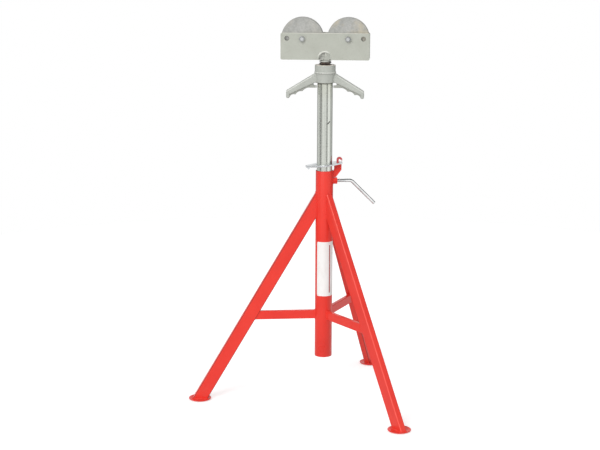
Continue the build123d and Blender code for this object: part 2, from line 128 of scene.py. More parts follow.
def spray_enamel(name):
    """Glossy red enamel, dusty near the floor, with a few chips to dark steel."""
    material, surface, place = start_finish(name, 0.3, coat=0.1)
    surface.inputs["Coat Roughness"].default_value = 0.12
    surface.inputs["Specular IOR Level"].default_value = 0.22
    broad = clouds(place, 9)
    fine = clouds(place, 160, 4)
    paint = blend_colours(level(broad, 0.35, 0.65), enamel_deep, enamel_bright)
    low_down = level(split(place)["Z"], dust_height, 0, 0, 0.35)
    dust = combine(low_down, level(fine, 0.45, 0.75))
    paint = blend_colours(dust, paint, enamel_dust)
    specks = level(clouds(place, 420, 5), 0.77, 0.79)
    chipped = combine(specks, level(broad, 0.58, 0.64))
    paint = blend_colours(chipped, paint, enamel_chip)
    colour_surface(surface, paint, level(broad, 0.3, 0.7, 0.27, 0.34))
    emboss(surface, (clouds(place, 500, 2), 0.08, 0.0002), (chipped, -0.3, 0.0002))
    return material


def dress(material, *names):
    """Gives CAD nodes that keep their own shape their finish."""
    for name in names:
        nodes[name].material_slots[0].material = material


def ease_edges(width, *names):
    """Breaks the sharp edges of CAD nodes by a small round."""
    for name in names:
        joined = nodes[name].modifiers.new("joined", "WELD")
        joined.merge_threshold = 1e-5
        eased = nodes[name].modifiers.new("eased", "BEVEL")
        eased.width = width
        eased.segments = 2
        eased.limit_method = "ANGLE"
        eased.angle_limit = radians(40)
        eased.harden_normals = True


red_enamel = spray_enamel("red_enamel")
dress(red_enamel, "centre_tube")
ease_edges(0.0005, "centre_tube")

# Legs and braces: rectangular steel tube, coped to the centre tube and welded all round.
# Each joint has a rippled bead under the enamel. Each leg has a painted highlight along one outer
# corner and painted shade along its other three.
leg_names = ("left", "front", "back")
leg_depth = 0.0381
leg_width = 0.01905
leg_corner = 0.0024
leg_lean = radians(30.52)
brace_height = 0.0254
brace_width = 0.0127
brace_corner = 0.0018
# Painted highlight and painted shade for the legs' corners.
corner_highlight = (0.94, 0.112, 0.085, 1)
corner_shade = (0.38, 0.026, 0.020, 1)
bead_radius = 0.0021
small_bead_radius = bead_radius * 0.8
ripple_length = 0.0017
ripple_depth = 0.16
swell_depth = 0.1
swell_rate = 310


def tube_outline(width, height, corner, step):
    """Points round a rectangular tube, with round corners, as (across, up) pairs."""
    points = []
    for turn, (side, rise) in enumerate(((1, 1), (-1, 1), (-1, -1), (1, -1))):
        for share in (0, 1 / 3, 2 / 3, 1):
            angle = (turn + share) * pi / 2
            across = side * (width / 2 - corner) + corner * cos(angle)
            points.append((across, rise * (height / 2 - corner) + corner * sin(angle)))
    return space_evenly(points, step)


def space_evenly(points, step):
    """The closed outline again, cut into even steps."""
    spaced = []
    for start, end in zip(points, points[1:] + points[:1]):
        start, end = Vector(start), Vector(end)
        cuts = max(1, round((end - start).length / step))
        spaced += [start.lerp(end, cut / cuts) for cut in range(cuts)]
    return spaced


def weld_bead(name, seam, radius, body, closed=True):
    """A round bead along the seam that swells at each ripple, made a mesh and ridden on its body."""
    drawn = bpy.data.curves.new(name, "CURVE")
    drawn.dimensions = "3D"
    drawn.bevel_depth = radius
    drawn.bevel_resolution = 2
    drawn.use_fill_caps = True
    spline = drawn.splines.new("POLY")
    spline.points.add(len(seam) - 1)
    spline.use_cyclic_u = closed
    run = 0.0
    for index, place in enumerate(seam):
        run += (Vector(place) - Vector(seam[index - 1])).length if index else 0
        spline.points[index].co = (*place, 1)
        ripple = abs(sin(pi * run / ripple_length))
        spline.points[index].radius = 1 - ripple_depth * ripple + swell_depth * sin(run * swell_rate)
    return add_piece(name, work_out(put_in_scene(name + "_curve", drawn)), body)


def put_in_scene(name, data):
    """A new object in the scene for a mesh, a curve, a lamp or the camera."""
    made = bpy.data.objects.new(name, data)
    bpy.context.scene.collection.objects.link(made)
    return made


def work_out(holder):
    """The mesh that an object's bevel or modifiers give; the object itself goes."""
    mesh = bpy.data.meshes.new_from_object(holder.evaluated_get(bpy.context.evaluated_depsgraph_get()))
    bpy.data.objects.remove(holder)
    return mesh


def as_mesh(name, built):
    """Makes a finished bmesh a mesh."""
    mesh = bpy.data.meshes.new(name)
    built.to_mesh(mesh)
    built.free()
    return mesh


def add_piece(name, mesh, body, material=None, smooth_angle=40):
    """Links a finished mesh as a piece that rides on its body, with its finish and smooth shading."""
    if isinstance(mesh, bmesh.types.BMesh):
        bmesh.ops.recalc_face_normals(mesh, faces=mesh.faces)
        mesh = as_mesh(name, mesh)
    mesh.shade_smooth()
    mesh.set_sharp_from_angle(angle=radians(smooth_angle))
    mesh.materials.clear()
    mesh.materials.append(material or red_enamel)
    piece = put_in_scene(name, mesh)
    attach(piece, body)
    return piece


def round_tube(angle, height, outline, reach):
    """Seam of an upright outline pressed against a round tube that faces the angle."""
    outward = Vector((cos(angle), sin(angle), 0))
    around = Vector((-sin(angle), cos(angle), 0))
    return [
        outward * sqrt(reach**2 - across**2) + around * across + Vector((0, 0, height + up))
        for across, up in outline
    ]


def repaint(material, share, colour):
    """Lays a colour over a share of the material's present colour."""
    tree = material.node_tree
    socket = tree.nodes["Principled BSDF"].inputs["Base Color"]
    tree.links.new(blend_colours(share, socket.links[0].from_socket, colour), socket)


def paint_corner_highlight_and_shade(material, middle, around, square):
    """Paints a highlight along one outer corner of a leg, and paints shade along its other three."""
    place = place_on(material)
    shifted = add_node("VectorMath", {0: place, 1: middle}, operation="SUBTRACT").outputs[0]
    across, rise = (
        add_node("VectorMath", {0: shifted, 1: way}, operation="DOT_PRODUCT").outputs["Value"]
        for way in (around, square)
    )
    sides = [combine(distance, operation="ABSOLUTE") for distance in (across, rise)]
    from_middle = combine(*sides, "ADD")
    corner_start = (leg_width + leg_depth) / 2 - leg_corner
    on_corner = level(from_middle, corner_start + 0.0002, corner_start + 0.0007, 0, 0.85)
    highlit_corner = combine(level(across, 0.001, -0.001), level(rise, -0.001, 0.001))
    # Painted highlight on the one outer corner, painted shade on the other three.
    repaint(material, on_corner, blend_colours(highlit_corner, corner_shade, corner_highlight))


base_turn = radians(9)
brace_level = (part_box("brace_left")[0].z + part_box("brace_left")[1].z) / 2
foot_low, foot_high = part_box("foot_left")
foot_thickness = 0.003
foot_middle = (foot_low + foot_high) / 2
leg_stance = hypot(foot_middle.x, foot_middle.y) + foot_thickness * tan(leg_lean)
leg_outline = tube_outline(leg_width, leg_depth, leg_corner, ripple_length / 3)
brace_outline = tube_outline(brace_width, brace_height, brace_corner, ripple_length / 3)
for turn, leg_name in enumerate(leg_names):
    leg_angle = base_turn + pi + turn * 2 * pi / 3
    outward = Vector((cos(leg_angle), sin(leg_angle), 0))
    around = Vector((-sin(leg_angle), cos(leg_angle), 0))
    leg_run = Vector((0, 0, cos(leg_lean))) - outward * sin(leg_lean)
    leg_square = Vector((0, 0, sin(leg_lean))) + outward * cos(leg_lean)
    top_seam, foot_seam, brace_seam = [], [], []
    for across, square in leg_outline:
        start = outward * leg_stance + around * across + leg_square * square
        foot_seam.append(start + leg_run * (foot_thickness - start.z) / leg_run.z)
        reach = sqrt(tube_radius**2 - across**2)
        top_seam.append(start + leg_run * (start.dot(outward) - reach) / sin(leg_lean))
    for across, up in brace_outline:
        height = brace_level + up
        inner_face = leg_stance - leg_depth / 2 / cos(leg_lean) - height * tan(leg_lean)
        brace_seam.append(outward * inner_face + around * across + Vector((0, 0, height)))
    weld_bead("leg_top_weld_" + leg_name, top_seam, bead_radius, "base")
    weld_bead("foot_weld_" + leg_name, foot_seam, bead_radius, "base")
    weld_bead("brace_leg_weld_" + leg_name, brace_seam, small_bead_radius, "base")
    tube_seam = round_tube(leg_angle, brace_level, brace_outline, tube_radius)
    weld_bead("brace_tube_weld_" + leg_name, tube_seam, small_bead_radius, "base")
    leg_enamel = spray_enamel("leg_enamel_" + leg_name)
    paint_corner_highlight_and_shade(leg_enamel, outward * leg_stance, around, leg_square)
    dress(leg_enamel, "leg_" + leg_name)
    dress(red_enamel, "brace_" + leg_name)

# Feet: round pads pressed from plate, flat where they stand, with a rolled-up rim.
# The press leaves soft bends, and the enamel is the base's.
foot_radius = (foot_high.x - foot_low.x) / 2
foot_flat_radius = 0.026
foot_rim_rise = foot_high.z - foot_thickness
foot_bend_round = 0.0013


def draw_profile(built, profile):
    """Joins (reach, height) points in the XZ plane by edges, in a bmesh."""
    corners = [built.verts.new((reach, 0, height)) for reach, height in profile]
    return corners + [built.edges.new(pair) for pair in zip(corners, corners[1:])]


def turn_profile(profile, segments=64):
    """A bmesh turned about Z from a profile of (reach, height) points."""
    turned = bmesh.new()
    bmesh.ops.spin(
        turned,
        geom=draw_profile(turned, profile),
        cent=(0, 0, 0),
        axis=(0, 0, 1),
        angle=2 * pi,
        steps=segments,
        use_merge=True,
    )
    bmesh.ops.remove_doubles(turned, verts=turned.verts, dist=1e-6)
    return turned


def round_off(turned, width, least_angle=25, segments=3):
    """Rounds the edges of a bmesh that are sharper than the angle."""
    bmesh.ops.recalc_face_normals(turned, faces=turned.faces)
    sharp = [e for e in turned.edges if e.is_manifold and e.calc_face_angle() > radians(least_angle)]
    bmesh.ops.bevel(
        turned, geom=sharp, offset=width, affect="EDGES", segments=segments, profile=0.5, material=-1
    )


for leg_name in leg_names:
    low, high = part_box("foot_" + leg_name)
    pad = turn_profile(
        [
            (0, 0),
            (foot_flat_radius, 0),
            (foot_radius, foot_rim_rise),
            (foot_radius, foot_high.z),
            (foot_flat_radius, foot_thickness),
            (0, foot_thickness),
        ]
    )
    round_off(pad, foot_bend_round)
    middle = (low + high) / 2
    bmesh.ops.translate(pad, verts=pad.verts, vec=(middle.x, middle.y, 0))
    foot_pad = add_piece("foot_pad_" + leg_name, pad, "base")
    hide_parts("foot_" + leg_name)

# Label: white satin film stuck round the front of the centre tube, left bare but for one thin
# red rule. It lies on the paint with fine wrinkles and a slightly soiled edge.
label_low, label_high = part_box("label")
label_middle = radians(297.5)
label_wrap = radians(149)
label_glue = 0.00005
film_reach = tube_radius + label_glue
film_columns_per_radian = 28
film_thickness = 0.0002
rule_angle = radians(314.2)
rule_width = radians(8.5)
rule_margin = 0.010
label_corner = 0.004
ink_thickness = 0.00004
film_white = (0.92, 0.92, 0.905, 1)
film_soiled = (0.74, 0.725, 0.69, 1)
ink_red = (0.40, 0.016, 0.024, 1)


def cover_film():
    material, surface, place = start_finish("label_film", 0.42)
    smudge = clouds(place, 34, 5, (1, 1, 0.5))
    film = blend_colours(level(smudge, 0.5, 0.8, 0, 0.5), film_white, film_soiled)
    colour_surface(surface, film, level(smudge, 0.3, 0.7, 0.34, 0.5))
    emboss(surface, (clouds(place, 26, 2, (1, 1, 0.25)), 0.25, 0.0012))
    return material


def print_ink():
    material, surface, place = start_finish("rule_ink", 0.4)
    worn = level(clouds(place, 900, 3), 0.62, 0.78, 0, 0.4)
    ink = blend_colours(worn, ink_red, film_white)
    colour_surface(surface, ink, level(worn, 0, 1, 0.35, 0.5))
    return material


def wrap_film(middle, wrap, low, high, reach, thickness, corner=0.0):
    """A thin sheet bent round the centre tube, with its corners rounded."""
    film = bmesh.new()
    columns, rows = max(2, round(wrap * film_columns_per_radian)), 24
    bmesh.ops.create_grid(film, x_segments=columns, y_segments=rows, size=0.5)
    width, height = wrap * reach, high - low
    for vert in film.verts:
        across, up = vert.co.x * width, vert.co.y * height
        over_side = max(0, abs(across) - (width / 2 - corner))
        over_end = max(0, abs(up) - (height / 2 - corner))
        if over_side and over_end:
            shrink = corner / max(corner, hypot(over_side, over_end))
            across += (shrink - 1) * over_side * (1 if across > 0 else -1)
            up += (shrink - 1) * over_end * (1 if up > 0 else -1)
        angle = middle + across / reach
        vert.co = (reach * cos(angle), reach * sin(angle), (low + high) / 2 + up)
    bmesh.ops.recalc_face_normals(film, faces=film.faces)
    front = film.faces[0]
    if front.normal.dot(Vector((front.calc_center_median().x, front.calc_center_median().y, 0))) < 0:
        bmesh.ops.reverse_faces(film, faces=film.faces)
    bmesh.ops.solidify(film, geom=film.faces[:], thickness=-thickness)
    return film


label_film = add_piece(
    "label_film",
    wrap_film(
        label_middle, label_wrap, label_low.z, label_high.z, film_reach, film_thickness, label_corner
    ),
    "base",
    cover_film(),
)
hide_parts("label")
add_piece(
    "label_rule",
    wrap_film(
        rule_angle,
        rule_width,
        label_low.z + rule_margin,
        label_high.z - rule_margin,
        film_reach + film_thickness,
        ink_thickness,
    ),
    "base",
    print_ink(),
)

# Lock bracket: flame-cut plate with a hook, stood on edge and welded to the tube's side.
# Its edges are ground, it is sprayed with the base, and its hook is painted a darker crimson.
bracket_thickness = 0.00635
bracket_weld_bottom = tube_top - 0.020
bracket_weld_height = 0.0167
hook_neck = 0.7105
hook_fringe = 0.002
hook_darker = (0.50, 0.085, 0.09, 1)


def darken_hook(material):
    """Paints the hook a darker crimson above its neck."""
    place = place_on(material)
    # Darker crimson above the hook's neck.
    rubbed = level(split(place)["Z"], hook_neck, hook_neck + hook_fringe, 0, 0.85)
    repaint(material, rubbed, hook_darker)


bracket_enamel = spray_enamel("bracket_enamel")
darken_hook(bracket_enamel)
dress(bracket_enamel, "lock_bracket")
ease_edges(0.0006, "lock_bracket")
bracket_outline = tube_outline(bracket_thickness, bracket_weld_height, 0.0005, ripple_length / 3)
bracket_seam = round_tube(
    base_turn, bracket_weld_bottom + bracket_weld_height / 2, bracket_outline, tube_radius
)
weld_bead("bracket_weld", bracket_seam, small_bead_radius, "base")

# Clamp boss: a hexagon nut welded over the drilled hole, its outer corners turned off.
# The weld runs round its foot, and both carry the base's enamel.
boss_flats = 0.0178
boss_reach = 0.0372
boss_sunk = 0.0012
rod_clearance = 0.00005
clamp_level = (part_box("clamp_boss")[0].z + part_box("clamp_boss")[1].z) / 2
clamp_radius = 0.0047625
corner_slope = tan(radians(30))
face_share = 0.97


def verts_of(geometry):
    """The vertices among what a bmesh operator gives back."""
    return [part for part in geometry if isinstance(part, bmesh.types.BMVert)]


def edges_of(geometry, open_only=False):
    """The edges among what a bmesh operator gives back, or those at its open rim."""
    edges = [part for part in geometry if isinstance(part, bmesh.types.BMEdge)]
    return [edge for edge in edges if edge.is_boundary or not open_only]


def hexagon_bar(flats, length, bore, turned_low, turned_high, segments=48):
    """Hexagon bar along Z with a bore, its corners turned off at the ends that say so."""
    bar = bmesh.new()
    bmesh.ops.create_circle(bar, segments=segments, radius=bore)
    first_ring = bar.edges[:]
    face_circle = flats / 2 * face_share

    def hexagon_reach(angle):
        return flats / 2 / cos((angle + pi / 6) % (pi / 3) - pi / 6)

    def grow(edges, reach_at, height_at):
        grown = bmesh.ops.extrude_edge_only(bar, edges=edges)["geom"]
        for vert in verts_of(grown):
            angle = atan2(vert.co.y, vert.co.x)
            reach = reach_at(angle)
            vert.co = (reach * cos(angle), reach * sin(angle), height_at(reach))
        return edges_of(grown, open_only=True)

    low_cut = corner_slope if turned_low else 0
    high_cut = corner_slope if turned_high else 0
    ring = grow(first_ring, lambda angle: face_circle, lambda reach: 0)
    ring = grow(ring, hexagon_reach, lambda reach: (reach - face_circle) * low_cut)
    ring = grow(ring, hexagon_reach, lambda reach: length - (reach - face_circle) * high_cut)
    ring = grow(ring, lambda angle: face_circle, lambda reach: length)
    ring = grow(ring, lambda angle: bore, lambda reach: length)
    bmesh.ops.bridge_loops(bar, edges=first_ring + ring)
    return bar


def face_outward(built, angle, reach, height):
    """Lays a bmesh that runs along Z on its side, so that it points outward at the angle."""
    outward = Matrix.Translation((reach * cos(angle), reach * sin(angle), height))
    outward = outward @ Matrix.Rotation(angle, 4, "Z") @ Matrix.Rotation(pi / 2, 4, "Y")
    bmesh.ops.transform(built, matrix=outward, verts=built.verts)


boss_root = tube_radius - boss_sunk
boss = hexagon_bar(boss_flats, boss_reach - boss_root, clamp_radius + rod_clearance, False, True)
face_outward(boss, base_turn, boss_root, clamp_level)
clamp_boss_nut = add_piece("clamp_boss_nut", boss, "base", smooth_angle=25)
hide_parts("clamp_boss")
boss_corners = []
for turn in range(6):
    corner_angle = (turn + 0.5) * pi / 3
    corner_reach = boss_flats / 2 / cos(pi / 6)
    boss_corners.append((corner_reach * cos(corner_angle), corner_reach * sin(corner_angle)))
boss_seam = round_tube(base_turn, clamp_level, space_evenly(boss_corners, ripple_length / 3), tube_radius)
weld_bead("boss_weld", boss_seam, small_bead_radius, "base")

# Clamp screw: three-eighths rod, threaded at its tip and bent down as its own handle.
# It is zinc plated, with painted shade along its top and underside and the bright zinc left between them.
clamp_tip = 0.022525
clamp_thread_end = 0.0605
clamp_reach = 0.0788
clamp_pitch = 0.0015875
clamp_thread_depth = 0.00095
fine_thread = (0.14, 0.38)
clamp_bend_radius = 0.016
clamp_bend_angle = radians(45)
clamp_handle = 0.097
clamp_end_chamfer = 0.0009
rod_start_share = 0.97
plate_bright = (0.70, 0.715, 0.725, 1)
plate_dull = (0.47, 0.48, 0.485, 1)
rod_bright = (0.92, 0.93, 0.93, 1)
rod_clouded = (0.66, 0.67, 0.67, 1)
rod_edge = (0.25, 0.25, 0.26, 1)
rod_shade = (0.26, 0.28, 0.28, 1)


def plate_zinc(name, bright, dull, roughness):
    """Zinc plate with faint clouds, drawing marks and dull specks."""
    material, surface, place = start_finish(name, roughness, metallic=0.9)
    broad = clouds(place, 45, 4)
    specks = level(clouds(place, 620, 4), 0.62, 0.75)
    shade = combine(level(broad, 0.35, 0.7, 0, 0.7), specks, "ADD")
    zinc = blend_colours(shade, bright, dull)
    colour_surface(surface, zinc, level(broad, 0.3, 0.7, roughness - 0.06, roughness + 0.1))
    emboss(surface, (clouds(place, 520, 3), 0.12, 0.0003))
    return material


def shade_upper_and_under(material):
    """Paints shade along the rod's top and underside, by which way each face points; the sides between
    them keep the bright zinc.
    """
    facing = place_on(material, "Normal")
    upright = combine(split(facing)["Z"], operation="ABSOLUTE")
    # Painted shade where the rod's faces point up or down.
    repaint(material, level(upright, 0.35, 0.6, 0, 0.85), rod_shade)
    material.node_tree.nodes["Principled BSDF"].inputs["Specular Tint"].default_value = rod_edge


def threaded_bar(crest, root, pitch, shares, start, end, segments):
    """Right-hand thread along Z: one turn's profile is spun up the helix, cut level and capped.

    The shares are those of the pitch that the crest and each flank take up.
    """
    crest_share, flank_share = shares
    bar = bmesh.new()
    foot = start - pitch
    profile = (
        (root, 0),
        (root, 1 - crest_share - 2 * flank_share),
        (crest, 1 - crest_share - flank_share),
        (crest, 1 - flank_share),
        (root, 1),
    )
    turns = ceil((end - start) / pitch) + 2
    bmesh.ops.spin(
        bar,
        geom=draw_profile(bar, [(reach, foot + share * pitch) for reach, share in profile]),
        cent=(0, 0, 0),
        axis=(0, 0, 1),
        dvec=(0, 0, pitch / segments),
        angle=2 * pi * turns,
        steps=segments * turns,
    )
    bmesh.ops.remove_doubles(bar, verts=bar.verts, dist=1e-6)
    for height, way in ((start, -1), (end, 1)):
        cut = bmesh.ops.bisect_plane(
            bar,
            geom=bar.verts[:] + bar.edges[:] + bar.faces[:],
            plane_co=(0, 0, height),
            plane_no=(0, 0, way),
            clear_outer=True,
        )
        bmesh.ops.triangle_fill(bar, edges=edges_of(cut["geom_cut"]))
    return bar


bright_zinc = plate_zinc("bright_zinc_plate", plate_bright, plate_dull, 0.26)
rod_zinc = plate_zinc("rod_zinc", rod_bright, rod_clouded, 0.15)
shade_upper_and_under(rod_zinc)
clamp_root = clamp_radius - clamp_thread_depth
clamp = threaded_bar(clamp_radius, clamp_root, clamp_pitch, fine_thread, clamp_tip, clamp_thread_end, 24)
rod = bmesh.new()
thread_end_place = Matrix.Translation((0, 0, clamp_thread_end))
bmesh.ops.create_circle(rod, segments=28, radius=clamp_radius * rod_start_share, matrix=thread_end_place)
bend_start = clamp_reach - clamp_bend_radius * tan(clamp_bend_angle / 2)
rim = bmesh.ops.extrude_edge_only(rod, edges=rod.edges[:])["geom"]
rim_verts = verts_of(rim)
bmesh.ops.translate(rod, verts=rim_verts, vec=(0, 0, bend_start - clamp_thread_end))
bend = bmesh.ops.spin(
    rod,
    geom=rim_verts + edges_of(rim, open_only=True),
    cent=(clamp_bend_radius, 0, bend_start),
    axis=(0, 1, 0),
    angle=clamp_bend_angle,
    steps=12,
)["geom_last"]
handle_run = Vector((sin(clamp_bend_angle), 0, cos(clamp_bend_angle)))
handle_length = clamp_handle - clamp_bend_radius * tan(clamp_bend_angle / 2)
for run, shrink in ((handle_length - clamp_end_chamfer, 1), (clamp_end_chamfer, 0.8), (0, 0)):
    bend = bmesh.ops.extrude_edge_only(rod, edges=edges_of(bend))["geom"]
    end_verts = verts_of(bend)
    bmesh.ops.translate(rod, verts=end_verts, vec=handle_run * run)
    middle = sum((vert.co for vert in end_verts), Vector()) / len(end_verts)
    bmesh.ops.scale(rod, verts=end_verts, vec=(shrink,) * 3, space=Matrix.Translation(-middle))
    bend = edges_of(bend, open_only=True)
bmesh.ops.remove_doubles(rod, verts=rod.verts, dist=1e-6)
clamp.from_mesh(as_mesh("bent_rod", rod))
face_outward(clamp, base_turn, 0, clamp_level)
clamp_rod = add_piece("clamp_rod", clamp, "clamp", rod_zinc)
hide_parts("clamp_screw")

# Inner tube: zinc-plated column tube that slides in the base. It carries drawing streaks, a
# slanted slit, a drill mark, and a painted shadow in a band just under the nut's skirt.
zinc_light = (0.71, 0.735, 0.68, 1)
zinc_dark = (0.42, 0.44, 0.395, 1)
# A dark stain, also used as painted shade round the nut's skirt.
stain_and_shade = (0.20, 0.20, 0.165, 1)
skirt_bottom = 0.9434
shadow_depth = 0.004
aged_depth = 0.06
zinc_aged = (0.55, 0.56, 0.45, 1)
zinc_shadow = (0.09, 0.085, 0.07, 1)


def draw_zinc():
    material, surface, place = start_finish("drawn_zinc", 0.3, metallic=0.85)
    streaks = clouds(place, 210, 5, (1, 1, 0.012))
    broad = clouds(place, 60, 3, (1, 1, 0.07))
    blotches = clouds(place, 120, 5)
    shade = combine(level(streaks, 0.35, 0.75), level(broad, 0.3, 0.7))
    zinc = blend_colours(shade, zinc_light, zinc_dark)
    zinc = blend_colours(level(blotches, 0.6, 0.8, 0, 0.35), zinc, stain_and_shade)
    height = split(place)["Z"]
    wavering = combine(height, level(blotches, 0, 1, -0.002, 0.002), "ADD")
    aged = level(wavering, skirt_bottom - aged_depth, skirt_bottom, 0, 0.5)
    zinc = blend_colours(aged, zinc, zinc_aged)
    # Painted shadow in a band just under the nut's skirt.
    skirt_shadow = level(wavering, skirt_bottom - shadow_depth, skirt_bottom - 0.001, 0, 0.95)
    zinc = blend_colours(skirt_shadow, zinc, zinc_shadow)
    colour_surface(surface, zinc, level(streaks, 0.3, 0.7, 0.14, 0.27))
    emboss(surface, (streaks, 0.06, 0.0002), (blotches, 0.05, 0.0002))
    return material


dress(draw_zinc(), "inner_tube")

# Lock ring: punched steel plate, zinc plated, that tilts on the bracket and bites the tube.
ring_bright = (0.74, 0.77, 0.79, 1)
dress(plate_zinc("ring_zinc", ring_bright, plate_dull, 0.22), "lock_ring")

# Thrust washer: a plain steel washer on the inner tube's end, under the nut.
dress(bright_zinc, "thrust_washer")

# Jack nut: an iron casting with two drooping arms, painted satin grey. The sand's grain shows
# through the paint, and the parting lines and joins are softly rounded.
# The arms' crowns and the ledge carry painted highlights; the webs and the skirt's lower edge carry
# painted shade.
casting_light = (0.50, 0.518, 0.475, 1)
casting_dark = (0.36, 0.375, 0.34, 1)
casting_grain = 0.0009
nut_bare = (0.82, 0.74, 0.63, 1)
skirt_radius = 0.0272
ledge_radius = 0.0316
ledge_bottom = 0.9721
ledge_top = 0.9746
ledge_highlight = (0.66, 0.67, 0.625, 1)
arm_rounding = 9
arm_top_slope = 0.614
arm_bar_slope = 0.4705
arm_bar_bottom = 0.9443
arm_web_run = 0.076
arm_crown_highlight = (0.70, 0.71, 0.665, 1)
web_shade = (0.33, 0.34, 0.30, 1)


def paint_grey(name, light, dark, roughness, grain, depth):
    """Satin grey enamel: clouded, with rubbed specks, over a grain of the given scale and depth."""
    material, surface, place = start_finish(name, roughness)
    broad = clouds(place, 22, 4)
    fine = clouds(place, 260, 5)
    rubbed = level(fine, 0.55, 0.75, 0, 0.4)
    shade = combine(level(broad, 0.35, 0.7, 0, 0.45), rubbed, "ADD")
    gloss = level(fine, 0.3, 0.7, roughness - 0.07, roughness + 0.08)
    colour_surface(surface, blend_colours(shade, light, dark), gloss)
    emboss(surface, (clouds(place, grain, 4), 0.35, depth))
    return material


def soften_casting(name, node, grain):
    """A copy of a CAD node, joined, remeshed fine and smoothed as a casting is, most on its arms."""
    copied = bmesh.new()
    copied.from_mesh(nodes[node].data)
    bmesh.ops.remove_doubles(copied, verts=copied.verts, dist=1e-5)
    holder = put_in_scene(name + "_holder", as_mesh(name + "_sharp", copied))
    remeshed = holder.modifiers.new("remeshed", "REMESH")
    remeshed.mode = "VOXEL"
    remeshed.voxel_size = grain
    smoothed = holder.modifiers.new("smoothed", "SMOOTH")
    smoothed.factor = 0.5
    smoothed.iterations = 2
    casting = bmesh.new()
    casting.from_mesh(work_out(holder))
    arms = [vert for vert in casting.verts if abs(vert.co.x) > ledge_radius + grain]
    for _ in range(arm_rounding):
        bmesh.ops.smooth_vert(
            casting, verts=arms, factor=0.5, use_axis_x=True, use_axis_y=True, use_axis_z=True
        )
    return casting


def reach_from(place, kept, centre=(0, 0, 0)):
    """How far a place is from the centre along the axes that are kept."""
    shift = [-middle * share for middle, share in zip(centre, kept)]
    flat = add_node("Mapping", {"Vector": place, "Scale": kept, "Location": shift}).outputs[0]
    return add_node("VectorMath", {0: flat}, operation="LENGTH").outputs["Value"]


def bare_top_and_paint_ledge_and_rim(material, top, bottom):
    """Bares the nut's machined top, paints a highlight on its ledge and paints shade round the skirt's
    lower edge.
    """
    place = place_on(material)
    height = split(place)["Z"]
    reach = reach_from(place, (1, 1, 0))
    repaint(material, level(height, top - 0.0007, top - 0.0003), nut_bare)
    near_skirt = level(reach, skirt_radius + 0.0015, skirt_radius + 0.0005)
    near_rim = level(height, bottom + 0.0022, bottom + 0.0010, 0, 0.8)
    above_tabs = level(height, bottom - 0.0010, bottom - 0.0002)
    # Painted shade round the skirt's lower edge.
    repaint(material, combine(combine(near_skirt, near_rim), above_tabs), stain_and_shade)
    above = level(height, ledge_bottom, ledge_bottom + 0.0006)
    on_ledge = combine(above, level(height, ledge_top + 0.0008, ledge_top + 0.0002))
    outermost = level(reach, ledge_radius - 0.0014, ledge_radius - 0.0006)
    # Painted highlight on the ledge's outer face.
    repaint(material, combine(on_ledge, outermost), ledge_highlight)


def paint_arm_highlight_and_shade(material):
    """Paints a highlight along the crown of the arms' bars, and paints shade on the webs below the bars.
    """
    place = split(place_on(material))
    run = combine(combine(place["X"], operation="ABSOLUTE"), skirt_radius, "SUBTRACT")
    top = combine(ledge_bottom, combine(run, arm_top_slope), "SUBTRACT")
    depth = combine(top, place["Z"], "SUBTRACT")
    crown = combine(level(depth, 0.0018, 0.0028), level(depth, 0.0058, 0.0042))
    # Painted highlight along the crown of each bar.
    repaint(material, combine(crown, level(run, 0.004, 0.010, 0, 0.6)), arm_crown_highlight)
    bar_bottom = combine(arm_bar_bottom, combine(run, arm_bar_slope), "SUBTRACT")
    under_bar = combine(bar_bottom, place["Z"], "SUBTRACT")
    web_end = level(run, arm_web_run, arm_web_run - 0.004)
    on_web = combine(level(run, 0.001, 0.002), web_end)
    # Painted shade on the webs below the bars.
    repaint(material, combine(on_web, level(under_bar, -0.0006, 0.0006, 0, 0.7)), web_shade)


painted_casting = paint_grey("painted_casting", casting_light, casting_dark, 0.33, 520, 0.0006)
paint_arm_highlight_and_shade(painted_casting)
bare_top_and_paint_ledge_and_rim(painted_casting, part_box("jack_nut")[1].z, skirt_bottom)
nut_casting = add_piece(
    "nut_casting",
    soften_casting("nut_casting", "jack_nut", casting_grain),
    "nut",
    painted_casting,
    smooth_angle=60,
)
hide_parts("jack_nut")

# Jack screw: rolled bar with a coarse square-cut thread, greased below and painted with the
# head above, welded between the head plates.
screw_low, screw_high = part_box("jack_screw")
screw_radius = screw_high.x
screw_pitch = 0.00635
screw_root = screw_radius - 0.003175
screw_plain = 0.0085
screw_chamfer = 0.0015
coarse_thread = (0.37, 0.13)
plain_overlap = 0.001
paint_end = 1.0034
# The screw's grey is lighter than the head's paint: painted light against the plates' shadow.
screw_paint_lightened = (0.70, 0.715, 0.665, 1)
screw_paint_worn = (0.50, 0.52, 0.48, 1)
groove_left = 1.0020
grease_brown = (0.10, 0.055, 0.038, 1)
grease_black = (0.022, 0.016, 0.013, 1)
steel_rubbed = (0.42, 0.40, 0.37, 1)


